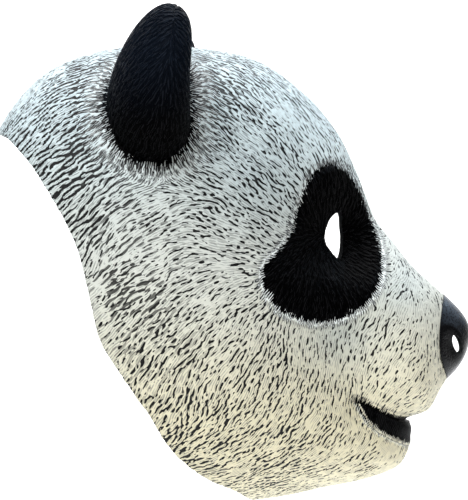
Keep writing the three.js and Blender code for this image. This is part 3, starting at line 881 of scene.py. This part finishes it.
def blended(points, table):
    """Values of a table of places in the side view, blended by nearness."""
    places = np.stack(from_pixels(table[:, 0], table[:, 1]), -1)
    away = np.linalg.norm(points[:, None] - places, axis=-1) + BLEND_REACH
    share = away**BLEND_POWER
    return share @ table[:, 2:] / share.sum(1, keepdims=True)


def fur_lies(points):
    """Which way the fur lies on the head, as unit vectors in the side view."""
    table = np.array(FUR_LIES, float)
    doubled = np.radians(2 * table[:, 2])
    table = np.column_stack([table[:, :2], np.cos(doubled), np.sin(doubled)])
    cosine, sine = blended(points[:, [0, 2]], table).T
    angle = np.arctan2(sine, cosine) / 2
    return np.stack([np.cos(angle), np.zeros(len(angle)), np.sin(angle)], -1)


def fade(distance, start, width):
    """1 up to a distance, then down to 0 over a width."""
    return np.clip(1 - (distance - start) / width, 0, 1)


def turned(lies, outward, share):
    """Directions of the fur, brought round to others by a share."""
    share = share[:, None]
    lies = np.where((lies * outward).sum(1, keepdims=True) < 0, -lies, lies)
    return unit(lies * (1 - share) + outward * share)


def from_eye(points):
    x, z = from_shares(*EYE_CENTRE)
    return unit((points - [x, 0, z]) * [1, 0, 1])


def on_right(points):
    return points * [1, 0, 1] - np.abs(points) * [0, 1, 0]


def search_tree(made):
    """Search tree of an object's surface. The object itself goes."""
    bpy.context.view_layer.update()
    tree = BVHTree.FromObject(made, bpy.context.evaluated_depsgraph_get())
    bpy.data.objects.remove(made)
    return tree


def distances_to(points, tree):
    return np.array([tree.find_nearest(Vector(point))[3] for point in points])


def finish_piece(made, node):
    made.data.name = made.name
    made.data.polygons.foreach_set("use_smooth", [True] * len(made.data.polygons))
    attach(made, "root")
    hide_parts(node)


def dress(made, node, slot, lies, **attributes):
    """Finishes a piece with fur that lies along the given directions, and carves it by its relief."""
    points, normals = corners_of(made.data), normals_at(made.data)
    along = unit(lies - normals * (lies * normals).sum(-1, keepdims=True))
    store(made.data, rest=points, comb=unit(np.cross(normals, along)), **attributes)
    if "relief" in attributes:
        made.modifiers.new("carve", "NODES").node_group = carve
        bake_modifiers(made)
    finish_piece(made, node)


SIDES = {"right": 1, "left": -1}
EAR_PAINT = 3 * MM
PATCH_INSET = 0.5 * MM
PATCH_EDGE, PATCH_SUNK = 0.25 * MM, 0.5 * MM
PATCH_RISE = (0.06, 0.14)  # shares of its breadth over which the raised fur rises at the eye and at its edge
BRIDGE_TRIES, BRIDGE_STEP, SMOOTHINGS, CORNER_LEFT = 60, 0.5 * MM, 3, 0.2 * MM
MOUTH_PAINT = 2.4 * MM
MOUTH_INSET = 0.8 * MM
FUR_DEPTH, PATCH_DEPTH, EAR_DEPTH = 0.75 * MM, 0.6 * MM, 0.8 * MM
SHALLOW = 0.45  # share of the depth that fine strokes keep beside coarse ones
# Black paint: how far its edge swings, how bright the bare edge is, how dark the haze beyond it is
PAINTS = {
    "ear": (7 * MM, 0.4, 0.0),
    "eye": (1.8 * MM, 1.0, 0.55),
    "mouth": (1.1 * MM, 0.5, 0.4),
    "nose": (1.1 * MM, 0.0, 0.2),
    "lip": (1.3 * MM, 0.3, 0.0),
}
ALL_BLACK = -0.1
# Start and width of the fades: fur that turns away from ear and eye, flecks, and fur flat at a cut
NEAR_EAR, NEAR_EYE = (8 * MM, 10 * MM), (1 * MM, 6 * MM)
FLECKED, FLAT_EDGE = (2 * MM, 9 * MM), 3 * MM
EAR_WASH, FLECK_WASH, FLECK_FALL = 0.9, 1.3, 0.7
# The bare edge round the eye: its brightness at the patch's middle, how fast it falls, and its limits
FRINGE_MIDDLE, FRINGE_HEIGHT, FRINGE_RANGE = 0.7, 60 * MM, (0.3, 1.0)


def patch_ink(points):
    """Distance from the black round the eyes, negative inside it."""
    edge = beside_outline(points[:, [0, 2]], pixel_outline(EYE_PAINT))
    return np.maximum(edge, PATCH_APART / 2 - np.abs(points[:, 1]))


def patch_fringe(points):
    """How bright the bare edge round the eye's black is: most below and on its sides."""
    _, middle = from_shares(*PATCH_CENTRE)
    return np.clip(FRINGE_MIDDLE - (points[:, 2] - middle) / FRINGE_HEIGHT, *FRINGE_RANGE)


def painted_shade_at(flat):
    """How far painted shade darkens the white at places in the side view."""
    shade = np.zeros(len(flat))
    for _, x, y, reach, darkness in SHADES:
        away = np.linalg.norm(flat - np.array(from_pixels(x, y)), axis=1)
        shade += darkness * bell(away / (reach * PIXEL))
    return shade


def over_jaw(points):
    """Height over the lower edge of the mouth."""
    x, z = from_shares(*MOUTH_CORNER)
    along, _, lower = np.array(MOUTH_EDGES).T
    return points[:, 2] - z + np.interp(points[:, 0] - x, along * MOUTH_LENGTH, lower) * MOUTH_DROP


def paint_on_skin(points, edges):
    """What black paint does at each point, from whichever paint is nearest to it."""
    bright, under_mouth = patch_fringe(points), over_jaw(points) < 0
    where = {"eye": (bright, bright), "mouth": (under_mouth, ~under_mouth)}
    rows = []
    for name, ink in edges.items():
        rag, fringe, haze = PAINTS[name]
        bare, hazy = where.get(name, (1, 1))
        rows.append(np.broadcast_arrays(ink, rag, fringe * bare, haze * hazy))
    values = np.stack(rows, 1)
    nearest = np.argmin(values[0] / values[1], axis=0)
    return dict(zip(("ink", "rag", "fringe", "haze"), values[:, nearest, np.arange(len(points))]))


def build_skin():
    made = add("mask_shell_skin", shell_mesh(), white, dark_inside)
    eye, mouth_edge = outline(EYE_HOLE, EYE_CENTRE, EYE_SIZE), mouth_outline()
    cutters = [prism("eye cutter", eye), prism("mouth cutter", mouth_edge)]
    for side, sign in SIDES.items():
        cutters.append(ear_egg(f"ear cutter {side}", EAR["wall"], EAR_CUTTER_GRID, sign))
    combine(made, "DIFFERENCE", cutters)
    points = corners_of(made.data)
    flat = points[:, [0, 2]]
    ear_tree = search_tree(ear_egg("ear shape", 0.0, EAR_PROBE_GRID, 1))
    from_ear = distances_to(on_right(points), ear_tree)
    near_ear = fade(from_ear, *NEAR_EAR)
    outward = unit(on_right(points) - on_right(ear_frame()[0]))
    outward[:, 1] *= np.where(points[:, 1] > 0, -1, 1)
    eye_edge = patch_ink(points)
    lies = turned(fur_lies(points), outward, near_ear)
    lies = turned(lies, from_eye(points), fade(eye_edge, *NEAR_EYE))
    mouth = beside_outline(flat, mouth_edge)
    raised = [beside_outline(flat, mouth_outline(-up, up)) for up in (MOUTH_PAINT / 2, MOUTH_PAINT)]
    edges = {
        "ear": from_ear - EAR_PAINT,
        "eye": eye_edge + PATCH_INSET,
        "mouth": np.minimum(mouth, np.minimum(*raised)) - MOUTH_INSET,
        "nose": beside_outline(flat, pixel_outline(NOSE_PAINT)),
    }
    wash, coarse = blended(flat, np.array(WASH, float)).T
    flecked = (FLECK_WASH - FLECK_FALL * patch_fringe(points)) * fade(eye_edge, *FLECKED)
    near_edge = np.clip(np.minimum(mouth, beside_outline(flat, eye)) / FLAT_EDGE, 0, 1)
    depth = FUR_DEPTH * near_edge * (1 - inner_points(made.data))
    dress(
        made, "mask_shell", "fur_white", lies, coarse=coarse, shade=painted_shade_at(flat),
        wash=np.maximum.reduce([wash, EAR_WASH * near_ear, flecked]),
        relief=depth * (SHALLOW + (1 - SHALLOW) * coarse),
        **paint_on_skin(points, edges),
    )


def on_skin(tree, flat):
    """Where lines along Y through places in the side view first meet the right side of the skin."""
    hits = [tree.ray_cast(Vector((x, -FAR_SIDE, z)), Vector((0, 1, 0)))[:2] for x, z in flat]
    missed = ((np.nan,) * 3,) * 2
    return np.array([hit if hit[0] is not None else missed for hit in hits]).swapaxes(0, 1)


def ray_lengths(curve, centre, angles):
    """How far a closed outline is from the centre, by angle in the side view."""
    away = curve - centre
    around = np.arctan2(away[:, 1], away[:, 0])
    order = np.argsort(around)
    return np.interp(angles, around[order], np.linalg.norm(away, axis=1)[order], period=2 * math.pi)


def build_patch(tree, side, sign):
    """Black fur round the eye hole: a layer on the skin that thins out to its edge."""
    centre = np.array(from_shares(*EYE_CENTRE))
    angles = turns(PATCH_COLUMNS) - math.pi
    inner = ray_lengths(outline(EYE_HOLE, EYE_CENTRE, EYE_SIZE, PATCH_STEPS), centre, angles)
    outer = ray_lengths(outline(PATCH, PATCH_CENTRE, PATCH_SIZE, PATCH_STEPS), centre, angles)
    heading = np.stack([np.cos(angles), np.sin(angles)], -1)
    for _ in range(BRIDGE_TRIES):
        reach, _ = on_skin(tree, centre + heading * outer[:, None])
        too_far = ~(np.abs(reach[:, 1]) > PATCH_APART / 2)
        outer = np.where(too_far, outer - BRIDGE_STEP, outer)
    for _ in range(SMOOTHINGS):
        outer = np.minimum(outer, (np.roll(outer, 1) + outer + np.roll(outer, -1)) / 3 + CORNER_LEFT)
    top, bottom = [], []
    for share in np.linspace(0, 1, PATCH_ROWS):
        flat = centre + heading * (inner + (outer - inner) * share)[:, None]
        points, normals = on_skin(tree, flat)
        edge = min(share / PATCH_RISE[0], (1 - share) / PATCH_RISE[1], 1.0)
        lift = PATCH_EDGE + (PATCH_RAISE - PATCH_EDGE) * math.sin(edge * math.pi / 2)
        top.append(points + normals * lift)
        bottom.append(points - normals * PATCH_SUNK)
    body = body_of_loops([loop * [1, sign, 1] for loop in top + bottom[::-1]])
    points = corners_of(body)
    bright = patch_fringe(points)
    rag, _, haze = PAINTS["eye"]
    dress(
        add(f"eye_patch_{side}_fur", body, black), f"eye_patch_{side}", "fur_black", from_eye(points),
        coarse=0.5, wash=0.8, rag=rag, ink=patch_ink(points) + PATCH_INSET, fringe=bright, haze=haze * bright,
        relief=PATCH_DEPTH * np.repeat([1.0, 0.0], PATCH_ROWS * PATCH_COLUMNS),
    )


def build_ear(side, sign):
    made = ear_egg(f"ear_{side}_fur", 0.0, EAR_GRID, sign, black)
    cavity = ear_egg(f"ear cavity {side}", EAR["wall"], EAR_CUTTER_GRID, sign)
    combine(made, "DIFFERENCE", [cavity, head_lump(f"head in ear {side}", -EAR_GAP)])
    centre, axis, _, _ = ear_frame()
    outward = unit(corners_of(made.data) - (centre - axis * EAR["height"] / 2) * [1, sign, 1])
    dress(
        made, f"ear_{side}", "fur_black", outward, coarse=0.7, wash=0.9, ink=ALL_BLACK, rag=PAINTS["ear"][0],
        relief=EAR_DEPTH * (1 - inner_points(made.data)),
    )


def flare(points):
    """Dips the sides of the nose round its nostrils, with a rolled edge."""
    x, z = from_shares(*NOSTRIL_CENTRE)
    dx, dz = points[:, 0] - x - FLARE_SHIFT[0], points[:, 2] - z - FLARE_SHIFT[1]
    across = dx * math.cos(NOSTRIL_SLANT) + dz * math.sin(NOSTRIL_SLANT)
    along = dz * math.cos(NOSTRIL_SLANT) - dx * math.sin(NOSTRIL_SLANT)
    away = np.hypot(across / FLARE_SIZE[0], along / FLARE_SIZE[1])
    dip = FLARE_DEPTH * bell(away) - FLARE_ROLL * bell((away - ROLL_AT) / ROLL_WIDTH)
    points[:, 1] -= dip * np.clip(points[:, 1] / FLARE_FADE, -1, 1)
    return points


def nose_loops(offset, length, grid):
    columns, rows = grid
    ring = skin(np.zeros(columns), turns(columns), offset)
    middle = ring.mean(0)
    loops = []
    for turn in np.linspace(0, math.pi / 2, rows + 1):
        radius = math.cos(turn)
        points = (ring - middle) * radius
        points[:, 0] *= radius
        rise = NOSE_RISE * (1 - radius) ** 2
        loops.append(flare(points + middle + [NOSE_GAP + length * math.sin(turn) ** 2, 0, rise]))
    return loops[:-1], loops[-1][:1]


def build_nose():
    outer, tip = nose_loops(0.0, NOSE_LENGTH, NOSE_GRID)
    inner, inner_tip = nose_loops(-WALL, NOSE_LENGTH - WALL, NOSE_INNER_GRID)
    shape = Shape()
    seat, front = shape.stack(outer)
    inner_front, inner_seat = shape.stack(inner[::-1], 1)
    shape.cap(front, tip)
    shape.bridge(inner_seat, seat, 1)
    shape.cap(inner_front, inner_tip, 1, turned=True)
    made = add("nose_latex", shape.mesh(), nose_black, dark_inside)
    turn = turns(NOSTRIL_COLUMNS)
    oval = np.stack([np.cos(turn), np.sin(turn)], -1) * NOSTRIL_SIZE / 2
    cosine, sine = math.cos(NOSTRIL_SLANT), math.sin(NOSTRIL_SLANT)
    slanted = oval @ [[cosine, sine], [-sine, cosine]] + from_shares(*NOSTRIL_CENTRE)
    combine(made, "DIFFERENCE", [prism("nostril cutter", slanted)])
    finish_piece(made, "nose")


def squared(points):
    """Pushes the front of the lip forward just under the slit, where it ends in a square edge."""
    forwards = np.clip((points[..., 0] - LIP_FRONT) / LIP_FADE, 0, 1)
    high = np.clip((points[..., 2] - LIP_LOW) / (LIP_HIGH - LIP_LOW), 0, 1)
    points[..., 0] += LIP_PUSH * forwards * high * high * (3 - 2 * high)
    return points


def build_lip():
    columns, rows = LIP_GRID
    angles = turns(columns)
    rings = even_rings(0.0, np.full(columns, float(BROW_RING)), rows, angles)
    outer = list(squared(skin(rings, angles, LIP_PROUD)))
    inner = list(skin(rings, angles, -WALL - LIP_INNER))
    made = add("lower_lip_latex", body_of_loops(outer + inner[::-1]), lip_black)
    under, above = mouth_outline(0, -MOUTH_GAP), mouth_outline(-LIP_TUCK, -LIP_TUCK)
    combine(made, "INTERSECT", [prism("under slit", under), prism("above jaw", above)])
    points = corners_of(made.data)
    rag, fringe, haze = PAINTS["lip"]
    dress(
        made, "lower_lip", "lip_black", fur_lies(points), coarse=0.3, wash=0.3, rag=rag, fringe=fringe,
        haze=haze, ink=LIP_INSET - over_jaw(points),
    )


build_skin()
skin_tree = search_tree(head_lump("skin probe", 0.0))
for side_name, side_sign in SIDES.items():
    build_patch(skin_tree, side_name, side_sign)
    build_ear(side_name, side_sign)
build_nose()
build_lip()

# Studio


def build_floor():
    """Pale floor that sweeps up into a backdrop, in metres."""
    front, back, half, top, drop, bend = -8.0, 4.0, 8.0, 8.0, -0.75, 2.0
    sweep = np.linspace(0, math.pi / 2, 17)
    rise = [(back - bend + bend * math.sin(turn), bend - bend * math.cos(turn)) for turn in sweep]
    curve = [(front, 0.0), *rise, (back, top)]
    points = [(x, y, drop + z) for x in (-half, half) for y, z in curve]
    size = len(curve)
    faces = [(i, i + 1, size + i + 1, size + i) for i in range(size - 1)]
    mesh = bpy.data.meshes.new("studio_floor")
    mesh.from_pydata(points, [], faces)
    mesh.polygons.foreach_set("use_smooth", [True] * len(faces))
    paper, _, surface = fresh_material("studio paper")
    surface["Base Color"].default_value = (0.9, 0.9, 0.9, 1.0)
    surface["Roughness"].default_value = 0.9
    add("studio_floor", mesh, paper)


MASK_MIDDLE = (0.02, 0, -0.14)
# Square lamps: name, place, aim, size, power, colour
LAMPS = [
    ("key_light", (-0.8, -1.9, 1.7), MASK_MIDDLE, 0.9, 50, (0.95, 0.98, 1.0)),
    ("top_light", (0.1, -0.2, 2.3), MASK_MIDDLE, 1.2, 9, (0.75, 0.9, 1.0)),
    ("low_light", (0.6, -1.9, -0.5), MASK_MIDDLE, 1.2, 11, (1.0, 0.93, 0.8)),
    ("rim_light", (1.3, 0.9, 1.2), (0.17, 0, -0.2), 0.5, 8, (0.6, 0.8, 1.0)),
    ("paper_light", (0.0, 1.2, 2.6), (0.0, 3.5, 0.5), 3.0, 260, (1.0, 1.0, 1.0)),
]
SKY_STRENGTH = 0.16


def build_lights():
    for name, spot, aim, size, power, colour in LAMPS:
        data = bpy.data.lights.new(name, "AREA")
        data.shape = "SQUARE"
        data.size = size
        data.energy = power
        data.color = colour
        turn = (Vector(aim) - Vector(spot)).to_track_quat("-Z", "Y").to_euler()
        put(name, data, spot).rotation_euler = turn
    world = bpy.data.worlds.new("studio_world")
    world.use_nodes = True
    background = world.node_tree.nodes["Background"]
    background.inputs["Color"].default_value = (1.0, 1.0, 1.0, 1.0)
    background.inputs["Strength"].default_value = SKY_STRENGTH
    bpy.context.scene.world = world
    bpy.context.scene.view_settings.view_transform = "Standard"


def build_camera():
    data = bpy.data.cameras.new("camera")
    data.lens = data.sensor_width * CAMERA_DISTANCE / (PHOTO_HEIGHT * PIXEL)
    x, z = from_pixels(PHOTO_WIDTH / 2, PHOTO_HEIGHT / 2)
    camera = put("camera", data, (x, -CAMERA_DISTANCE, z))
    camera.rotation_euler = (math.pi / 2, 0, 0)
    bpy.context.scene.camera = camera


build_floor()
build_lights()
build_camera()
